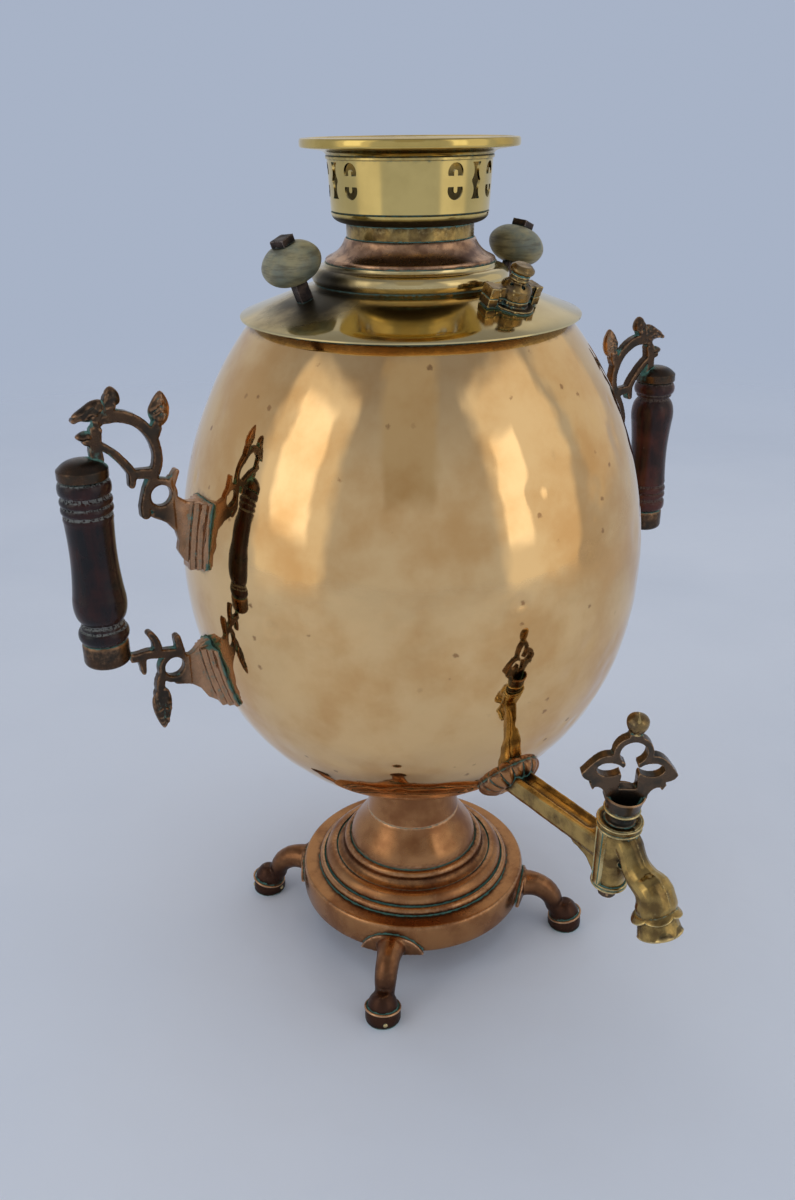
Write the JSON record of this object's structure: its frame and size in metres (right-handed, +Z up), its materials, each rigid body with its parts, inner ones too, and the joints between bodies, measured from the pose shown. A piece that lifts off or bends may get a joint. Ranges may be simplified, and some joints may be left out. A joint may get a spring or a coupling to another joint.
{
  "type": "samovar",
  "caption": "Charcoal-fired samovar with an egg-shaped water vessel on a footed base, a lifting lid with a pierced crown, two scrolled handles and a turning tap.",
  "frame": {"origin": "middle of the footprint at the height of the feet's soles", "axes": "+Z up along the vessel, the tap points along -Y, the handles lie along X"},
  "size_m": [0.3762, 0.3357, 0.4619],
  "materials": {
    "copper_patina": "satin, brown patina",
    "tombak": "polished",
    "brass": "polished",
    "tap_bronze": "aged",
    "dark_bronze": "dark patina",
    "iron": "rough",
    "lacquered_wood": "worn lacquer",
    "pale_wood": "turned, dull"
  },
  "bodies": {
    "vessel": {"foot_front_left": "copper_patina", "foot_front_right": "copper_patina", "foot_rear_left": "copper_patina", "foot_rear_right": "copper_patina", "base_disc": "copper_patina", "base_rings": "copper_patina", "pedestal_bell": "copper_patina", "pedestal_neck": "copper_patina", "shell_bottom": "tombak", "shell_lower": "tombak", "shell_upper": "tombak", "shell_top": "tombak", "mouth_ring": "tombak", "fire_tube": "copper_patina", "upper_bracket_left": "copper_patina", "upper_bracket_right": "copper_patina", "lower_bracket_left": "copper_patina", "lower_bracket_right": "copper_patina", "handle_cap_left": "copper_patina", "handle_cap_right": "copper_patina", "ferrule_left": "copper_patina", "ferrule_right": "copper_patina", "spindle_left": "iron", "spindle_right": "iron", "tap_rosette": "copper_patina", "tap_body": "tap_bronze"},
    "lid": {"lid_disc": "brass", "lid_collar": "copper_patina", "lid_bearing_ring": "brass", "knob_left": "pale_wood", "knob_right": "pale_wood", "knob_bolt_left": "iron", "knob_bolt_right": "iron", "knob_nut_left": "iron", "knob_nut_right": "iron", "vent_base": "brass", "vent_pin": "iron"},
    "crown": {"crown_flare": "brass", "crown_band": "brass", "crown_cup": "brass", "crown_collar": "brass"},
    "vent": {"vent_cap": "brass"},
    "tap": {"tap_plug": "dark_bronze", "tap_key": "dark_bronze", "key_ball": "tap_bronze", "plug_washer": "dark_bronze"},
    "grate": {"grate": "iron"},
    "left_grip": {"grip_left": "lacquered_wood"},
    "right_grip": {"grip_right": "lacquered_wood"}
  },
  "joints": [
    {"name": "lid_lift", "type": "slide", "parent": "vessel", "child": "lid", "axis": [0, 0, 1], "range_m": [0, 0.1]},
    {"name": "crown_lift", "type": "slide", "parent": "lid", "child": "crown", "axis": [0, 0, 1], "range_m": [0, 0.06]},
    {"name": "vent_turn", "type": "hinge", "parent": "lid", "child": "vent", "pos_m": [0.01512, -0.01748, 0.38986], "axis": [0.0861, -0.3452, 0.9346], "range_deg": [0, 24]},
    {"name": "tap_turn", "type": "hinge", "parent": "vessel", "child": "tap", "pos_m": [0, -0.12589, 0.1502], "axis": [0, -0.0958, 0.9954], "continuous": true},
    {"name": "grate_lift", "type": "slide", "parent": "vessel", "child": "grate", "axis": [0, 0, 1], "range_m": [0, 0.36]},
    {"name": "left_grip_spin", "type": "hinge", "parent": "vessel", "child": "left_grip", "pos_m": [-0.17533, 0.05082, 0.282], "axis": [0, 0, 1], "continuous": true},
    {"name": "right_grip_spin", "type": "hinge", "parent": "vessel", "child": "right_grip", "pos_m": [0.17533, 0.03551, 0.282], "axis": [0, 0, 1], "continuous": true}
  ]
}
